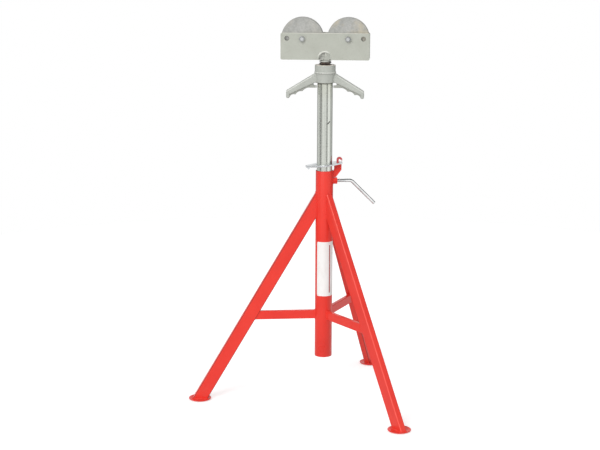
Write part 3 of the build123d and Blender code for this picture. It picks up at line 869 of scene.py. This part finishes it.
def grease_thread():
    """Grey paint at the head, brown grease below it, and rubbed steel through the grease. The grey is
    painted lighter than the head's paint as painted light against the plates' shadow, and its grooves
    carry painted shade towards the sides.
    """
    material, surface, place = start_finish("greased_thread", 0.35, metallic=0.2)
    fine = clouds(place, 320, 5)
    broad = clouds(place, 70, 4)
    grease = blend_colours(level(broad, 0.35, 0.65), grease_black, grease_brown)
    grease = blend_colours(level(fine, 0.58, 0.7, 0, 0.6), grease, steel_rubbed)
    painted = blend_colours(level(fine, 0.5, 0.66), screw_paint_lightened, screw_paint_worn)
    parts = split(place)
    groove = level(reach_from(place, (1, 1, 0)), screw_radius - 0.0006, screw_root + 0.0006)
    either_side = combine(parts["X"], operation="ABSOLUTE")
    # Painted shade in the thread grooves, strongest towards the sides.
    groove_shade = combine(groove, level(either_side, 0.008, 0.013, 0.25, 0.9))
    painted = blend_colours(groove_shade, painted, grease_black)
    wavering = combine(parts["Z"], level(broad, 0, 1, -0.0015, 0.0015), "ADD")
    coat = level(wavering, paint_end - 0.001, paint_end + 0.0005)
    cover = blend_colours(coat, grease, painted)
    colour_surface(surface, cover, level(coat, 0, 1, 0.3, 0.5))
    emboss(surface, (fine, 0.3, 0.0005))
    return material


thread_top = screw_high.z - screw_plain + plain_overlap
screw = threaded_bar(screw_radius, screw_root, screw_pitch, coarse_thread, screw_low.z, thread_top, 48)
groove_share = 0.185
screw_turn = 2 * pi * (groove_share + 0.5 - (groove_left - screw_low.z) / screw_pitch)
bmesh.ops.rotate(screw, verts=screw.verts, cent=(0, 0, 0), matrix=Matrix.Rotation(screw_turn, 3, "Z"))
cap = turn_profile(
    [
        (0, screw_high.z - screw_plain),
        (screw_radius, screw_high.z - screw_plain),
        (screw_radius, screw_high.z - screw_chamfer),
        (screw_radius - screw_chamfer, screw_high.z),
        (0, screw_high.z),
    ],
    48,
)
screw.from_mesh(as_mesh("screw_cap", cap))
screw_bar = add_piece("screw_bar", screw, "head", grease_thread())
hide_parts("jack_screw")

# Head plates: two flat bars, sheared and drilled, painted satin grey-green. The edges are broken
# by the tumbler, and rain and rubbing have clouded the paint a little.
plate_light = (0.485, 0.50, 0.44, 1)
plate_worn = (0.39, 0.40, 0.345, 1)
plate_low, plate_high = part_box("head_plate_front")
spare_hole_reach = 0.109
spare_hole_level = plate_low.z + 0.0607
spare_hole_radius = 0.00635
# Painted shade for the spare holes, the fill's pit and its lower corners.
hole_shade = (0.07, 0.068, 0.052, 1)
# Painted highlight along the plates' top edge and beside the fill's pit.
pale_highlight = (0.74, 0.74, 0.66, 1)
top_highlight_depth = 0.0013


def shade_holes_and_light_top_edge(material):
    """Paints shade round the two spare holes and on their walls, and paints a highlight along the top
    edge.
    """
    place = split(place_on(material))
    either_side = combine(place["X"], operation="ABSOLUTE")
    mirrored = add_node("CombineXYZ", {"X": either_side, "Z": place["Z"]}).outputs[0]
    reach = reach_from(mirrored, (1, 0, 1), (spare_hole_reach, 0, spare_hole_level))
    soiled = level(reach, spare_hole_radius + 0.0007, spare_hole_radius + 0.0001, 0, 0.9)
    # Painted shade round each spare hole.
    repaint(material, soiled, hole_shade)
    rubbed = level(place["Z"], plate_high.z - top_highlight_depth, plate_high.z - top_highlight_depth / 2, 0, 0.85)
    # Painted highlight along the top edge.
    repaint(material, rubbed, pale_highlight)


plate_grey = paint_grey("plate_grey", plate_light, plate_worn, 0.45, 300, 0.0003)
shade_holes_and_light_top_edge(plate_grey)
dress(plate_grey, "head_plate_front", "head_plate_back", "roller_spacers")
ease_edges(0.0009, "head_plate_front", "head_plate_back")

# Head welds: a bead along the edge of each arch, and rough fill inside it that ties the screw to
# the plates. Both are sprayed with the head; the bead's crown is painted lighter as a painted highlight.
arch_radius = 0.0178
arch_centre = plate_low.z + 0.0245 - arch_radius
arch_bead_radius = 0.0027
arch_bead_reach = arch_radius - 0.0008
arch_bead_spread = 1.1
arch_bead_flatness = 0.55
arch_bead_fade = 0.7
fill_dip = 0.0024
fill_shoulder = 0.011
fill_roughness = 0.0016
fill_thickness = 0.002
# Painted shade in the pit and at the fill's lower corners, and a painted highlight beside the pit.
pit_place = Vector((-0.0034, 0, 1.0280))
pit_width = 0.0021
pit_depth = 0.0022
pit_shade_width = 0.002625
glint_place = Vector((0.0020, 0, 1.0268))
glint_width = 0.0019
corner_shade_spots = (Vector((-0.0162, 0, 1.0132)), Vector((0.0140, 0, 1.0112)))
corner_shade_width = 0.0024
fill_margin = 0.0003
lump_scale = 190
arch_tilt = 0.3
# Lighter greys for the bead: a painted highlight on its crown.
bead_highlight_light = (0.72, 0.725, 0.67, 1)
bead_highlight_dark = (0.58, 0.58, 0.52, 1)
fill_light = (0.485, 0.50, 0.445, 1)
fill_dark = (0.22, 0.22, 0.20, 1)


def fade_crown_highlight(material):
    """Lets the bead's painted highlight fade into the plate's paint down both sides, sooner on the right.
    """
    place = split(place_on(material))
    tilted = combine(place["Z"], combine(place["X"], arch_tilt), "SUBTRACT")
    # Painted highlight kept on the crown, faded to the plate's grey below.
    repaint(material, level(tilted, arch_centre + 0.0145, arch_centre + 0.007), plate_light)


def shade_pit_and_mark_fill(material):
    """Darkens the fill in patches towards its left, paints shade in its pit and at its lower corners, and
    paints a highlight beside the pit.
    """
    place = place_on(material)
    patches = level(clouds(place, 300, 2), 0.45, 0.6)
    # Darker patches towards the left.
    to_left = level(split(place)["X"], 0.005, -0.004, 0, 0.9)
    repaint(material, combine(patches, to_left), fill_dark)
    # Painted shade in the pit and lower corners, painted highlight beside the pit.
    spots = [(pit_place, pit_shade_width, hole_shade), (glint_place, glint_width, pale_highlight)]
    for spot, width, colour in spots + [(gap, corner_shade_width, hole_shade) for gap in corner_shade_spots]:
        reach = reach_from(place, (1, 0, 1), spot)
        repaint(material, level(reach, width, width * 0.65, 0, 0.95), colour)


lit_bead_grey = paint_grey("lit_bead_grey", bead_highlight_light, bead_highlight_dark, 0.28, 480, 0.0004)
fill_grey = paint_grey("fill_grey", fill_light, fill_dark, 0.4, 330, 0.0009)
fade_crown_highlight(lit_bead_grey)
shade_pit_and_mark_fill(fill_grey)
for side_name, side in (("front", -1), ("back", 1)):
    outer_face = side * -plate_low.y
    seam = []
    for step in range(91):
        angle = pi * step / 90
        aside = arch_bead_spread * arch_bead_reach * cos(angle)
        seam.append(Vector((aside, 0, arch_centre + arch_bead_reach * sin(angle))))
    arch_bead = weld_bead("arch_weld_" + side_name, seam, arch_bead_radius, "head", closed=False)
    for vert in arch_bead.data.vertices:
        slope = max(0, vert.co.z - arch_tilt * vert.co.x - arch_centre) / arch_radius
        fade = 1 - arch_bead_fade * (1 - min(1, slope)) ** 2
        vert.co.y = outer_face + vert.co.y * arch_bead_flatness * fade
    arch_bead.data.materials[0] = lit_bead_grey
    fill = bmesh.new()
    bmesh.ops.create_grid(fill, x_segments=48, y_segments=36, size=0.5)
    for vert in fill.verts:
        share = 2 * vert.co.x
        height = plate_low.z + (vert.co.y + 0.5) * (arch_centre + arch_radius - fill_margin - plate_low.z)
        half_width = sqrt(max(0, arch_radius**2 - max(0, height - arch_centre) ** 2))
        place = Vector((share * half_width, 0, height))
        lump = fill_roughness * noise.noise(place * lump_scale + Vector((0, side, 0)))
        pit = pit_depth * max(0, 1 - (place - pit_place).length / pit_width)
        hollow = (1 - share**4) * min(1, half_width / fill_shoulder)
        reach = -plate_low.y - fill_dip * (1 - 0.5 * share) * hollow + lump * (1 - share**2) * hollow - pit
        vert.co = (place.x, side * reach, place.z)
    bmesh.ops.remove_doubles(fill, verts=fill.verts, dist=1e-5)
    bmesh.ops.recalc_face_normals(fill, faces=fill.faces)
    if fill.faces[:][len(fill.faces) // 2].normal.y * side < 0:
        bmesh.ops.reverse_faces(fill, faces=fill.faces)
    bmesh.ops.solidify(fill, geom=fill.faces[:], thickness=fill_thickness)
    arch_fill = add_piece("arch_fill_" + side_name, fill, "head", fill_grey)
    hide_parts("head_welds")
    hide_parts("head_welds")

# Rollers: turned steel discs, zinc plated to a mottled grey, that spin on bronze bushes.
# The faces show the lathe's rings and the plating's spangle, one tinged yellower.
roller_light = (0.50, 0.50, 0.478, 1)
roller_dark = (0.33, 0.335, 0.315, 1)
roller_tinge = (0.60, 0.51, 0.33, 1)
ring_rate = 9000


def plate_roller(name, axle, tinge):
    """Mottled zinc with turning rings about the axle, tinged here and there."""
    material, surface, place = start_finish(name, 0.38, metallic=0.55)
    centred = add_node("Mapping", {"Vector": place, "Location": (-axle.x, 0, -axle.z)}).outputs[0]
    cells = add_node("TexVoronoi", {"Vector": centred, "Scale": 260.0}).outputs["Color"]
    spangle = add_node("SeparateColor", {0: cells}).outputs[0]
    broad = clouds(centred, 38, 5)
    fine = clouds(centred, 300, 5)
    shade = combine(level(broad, 0.35, 0.7, 0, 0.6), combine(spangle, 0.45), "ADD")
    zinc = blend_colours(shade, roller_light, roller_dark)
    tinged = level(clouds(centred, 24, 3), 0.45, 0.75, 0, tinge)
    zinc = blend_colours(tinged, zinc, roller_tinge)
    zinc = blend_colours(level(fine, 0.6, 0.8, 0, 0.35), zinc, stain_and_shade)
    rings = combine(reach_from(centred, (1, 0, 1)), ring_rate)
    rings = combine(rings, operation="SINE")
    colour_surface(surface, zinc, level(fine, 0.3, 0.7, 0.3, 0.5))
    emboss(surface, (rings, 0.1, 0.0001), (fine, 0.2, 0.0003))
    return material


for side_name, tinge in (("left", 0.15), ("right", 0.7)):
    low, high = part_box("roller_" + side_name)
    dress(plate_roller("roller_zinc_" + side_name, (low + high) / 2, tinge), "roller_" + side_name)

# Bushes: oiled bronze sleeves pressed into the rollers.
bronze_light = (0.55, 0.36, 0.16, 1)
bronze_dark = (0.25, 0.15, 0.06, 1)
dress(plate_zinc("oiled_bronze", bronze_light, bronze_dark, 0.3), "bushing_left", "bushing_right")

# Axle bolts and nuts: three-eighths hexagon bolts through both plates, dulled zinc plate, with
# the nuts run up on the front and the threads' ends just proud of them. The nuts are coloured
# darker than the bolts as painted shade.
hex_flats = 0.0142875
axle_radius = 0.0047625
head_thickness = 0.0060
nut_thickness = 0.0083
axle_pitch = 0.0015875
axle_thread_depth = 0.0009
thread_runout = 0.002
head_overlap = 0.001
axle_bright = (0.68, 0.695, 0.69, 1)
axle_dull = (0.44, 0.45, 0.445, 1)
# The nuts' zinc is darker than the bolts' as painted shade.
nut_shaded_light = (0.42, 0.43, 0.43, 1)
nut_shaded_dark = (0.24, 0.25, 0.25, 1)
bolt_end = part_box("axle_bolt_left")[0].y
axle_zinc = plate_zinc("axle_zinc", axle_bright, axle_dull, 0.3)
shaded_nut_zinc = plate_zinc("shaded_nut_zinc", nut_shaded_light, nut_shaded_dark, 0.34)
for side_name, turned in (("left", radians(31)), ("right", radians(17))):
    low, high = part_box("axle_nut_" + side_name)
    middle = (low + high) / 2
    towards_front = Matrix.Translation((middle.x, 0, middle.z)) @ Matrix.Rotation(pi / 2, 4, "X")
    nut = hexagon_bar(hex_flats, nut_thickness, axle_radius, True, True)
    bmesh.ops.rotate(nut, verts=nut.verts, cent=(0, 0, 0), matrix=Matrix.Rotation(turned, 3, "Z"))
    bmesh.ops.translate(nut, verts=nut.verts, vec=(0, 0, -high.y))
    bmesh.ops.transform(nut, matrix=towards_front, verts=nut.verts)
    nut_piece = add_piece("nut_" + side_name, nut, "head", shaded_nut_zinc, smooth_angle=25)
    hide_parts("axle_nut_" + side_name)
    head_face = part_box("axle_bolt_" + side_name)[1].y
    bolt = hexagon_bar(hex_flats, head_thickness, axle_radius, True, False)
    bmesh.ops.translate(bolt, verts=bolt.verts, vec=(0, 0, -head_face))
    thread_start = -low.y - thread_runout
    thread_root = axle_radius - axle_thread_depth
    shank = threaded_bar(axle_radius, thread_root, axle_pitch, fine_thread, thread_start, -bolt_end, 28)
    shank_start = -head_face + head_overlap
    plain = turn_profile(
        [(0, shank_start), (axle_radius, shank_start), (axle_radius, thread_start), (0, thread_start)], 32
    )
    for more in (shank, plain):
        bolt.from_mesh(as_mesh("bolt_part", more))
    bmesh.ops.transform(bolt, matrix=towards_front, verts=bolt.verts)
    bolt_piece = add_piece("bolt_" + side_name, bolt, "head", axle_zinc, smooth_angle=25)
    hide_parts("axle_bolt_" + side_name)

# Floor: white card under the stand, lifted to white for the eye only, so that it keeps the
# stand's soft shadow.
floor_radius = 2.6
floor_white = (0.84, 0.84, 0.84, 1)
floor_clouded = (0.82, 0.82, 0.82, 1)
floor_lift = 0.45
mirrored_lift = 0.17
disc = bmesh.new()
bmesh.ops.create_circle(disc, cap_ends=True, segments=96, radius=floor_radius)
floor = put_in_scene("floor", as_mesh("floor", disc))
floor_finish, surface, place = start_finish("floor_paint", 0.9)
tree = floor_finish.node_tree
tint = blend_colours(clouds(place, 3), floor_white, floor_clouded)
tree.links.new(tint, surface.inputs["Base Color"])
surface.inputs["Specular IOR Level"].default_value = 0.0
surface.inputs["Emission Color"].default_value = (1, 1, 1, 1)
rays = add_node("LightPath", {}, tree).outputs
to_eye = combine(rays["Is Camera Ray"], floor_lift)
to_mirror = combine(rays["Is Glossy Ray"], mirrored_lift)
tree.links.new(combine(to_eye, to_mirror, "ADD"), surface.inputs["Emission Strength"])
floor.data.materials.append(floor_finish)

# Sky: white to the eye. In reflections it has the gaps between the studio's low screens and a
# darker ceiling, which draw lines along bright metal. Its light on the stand comes mostly from
# the front and from above, so that the pieces darken towards their sides.
sky_front = 0.75
sky_above = 0.6
sky_aside = 0.17
screen_gaps = (
    (-164, 0.9), (-155, 0.04), (-142, 0.04), (-130, 0.95), (-99, 1.0), (-66, 0.95), (-58, 0.08),
    (-47, 0.08), (-38, 1.0), (-12, 0.95), (14, 0.5), (32, 0.6), (60, 0.35), (120, 0.35), (150, 0.7),
)
screen_top = 0.05
gap_from = (0.48, 0.51)
gap_to = (0.715, 0.69)
gap_darkness = 0.95
ceiling_brightness = 0.35
sky = bpy.data.worlds.new("white_sky")
sky.use_nodes = True
tree = sky.node_tree
background = tree.nodes["Background"]
rays = add_node("LightPath", {}, tree).outputs
towards = add_node("TexCoord", {}, tree).outputs["Generated"]
way = split(towards)
heading = level(combine(way["Y"], way["X"], "ARCTAN2"), -pi, pi)
screens = add_node("ValToRGB", {0: heading})
for heading_degrees, brightness in screen_gaps:
    stop = screens.color_ramp.elements.new((heading_degrees + 180) / 360)
    stop.color = (brightness, brightness, brightness, 1)
over_screens = level(way["Z"], screen_top, screen_top + 0.1)
in_gap = combine(level(heading, *gap_from), level(heading, *gap_to))
dark_gap = combine(combine(in_gap, over_screens), gap_darkness)
screened = combine(screens.outputs[0], over_screens, "MAXIMUM")
screened = combine(screened, combine(1, dark_gap, "SUBTRACT"))
ceiling = level(way["Z"], 0.5, 0.7, 1, ceiling_brightness)
mirrored = combine(combine(screened, ceiling), rays["Is Glossy Ray"])
seen = combine(rays["Is Camera Ray"], rays["Is Transmission Ray"], "MAXIMUM")
before = level(way["Y"], 0.2, -1, sky_aside, sky_front)
shed = combine(before, level(way["Z"], 0.3, 1, 0, sky_above), "ADD")
unlit = combine(seen, rays["Is Glossy Ray"], "MAXIMUM")
unlit = combine(shed, combine(1, unlit, "SUBTRACT"))
strength = combine(combine(mirrored, seen, "ADD"), unlit, "ADD")
tree.links.new(strength, background.inputs["Strength"])
background.inputs["Color"].default_value = (1, 1, 1, 1)
bpy.context.scene.world = sky

# Lamps: soft parallel light from high at the left front, and a weaker one from the right.
lamp_target = Vector((0, 0, 0.55))
for lamp_name, place, spread, strength in (
    ("key_lamp", (-1.5, -3.2, 2.7), 28, 1.27),
    ("fill_lamp", (3.0, -2.4, 0.9), 70, 0.2),
):
    lamp_data = bpy.data.lights.new(lamp_name, "SUN")
    lamp_data.angle = radians(spread)
    lamp_data.energy = strength
    lamp = put_in_scene(lamp_name, lamp_data)
    lamp.location = place
    lamp.rotation_mode = "QUATERNION"
    lamp.rotation_quaternion = (lamp_target - Vector(place)).to_track_quat("-Z", "Y")

# Camera: stands where the photographer stood, a little above the head, with a long lens.
camera_place = Vector((0.2426, -4.3346, 1.4607))
camera_yaw = -0.07215
camera_pitch = -0.21235
camera_roll = -0.0040
camera_lens = 90.95
camera_data = bpy.data.cameras.new("camera")
camera_data.sensor_width = 36
camera_data.lens = camera_lens
camera = put_in_scene("camera", camera_data)
camera.matrix_world = (
    Matrix.Translation(camera_place)
    @ Matrix.Rotation(-camera_yaw, 4, "Z")
    @ Matrix.Rotation(pi / 2 + camera_pitch, 4, "X")
    @ Matrix.Rotation(-camera_roll, 4, "Z")
)
bpy.context.scene.camera = camera
bpy.context.scene.view_settings.view_transform = "Standard"
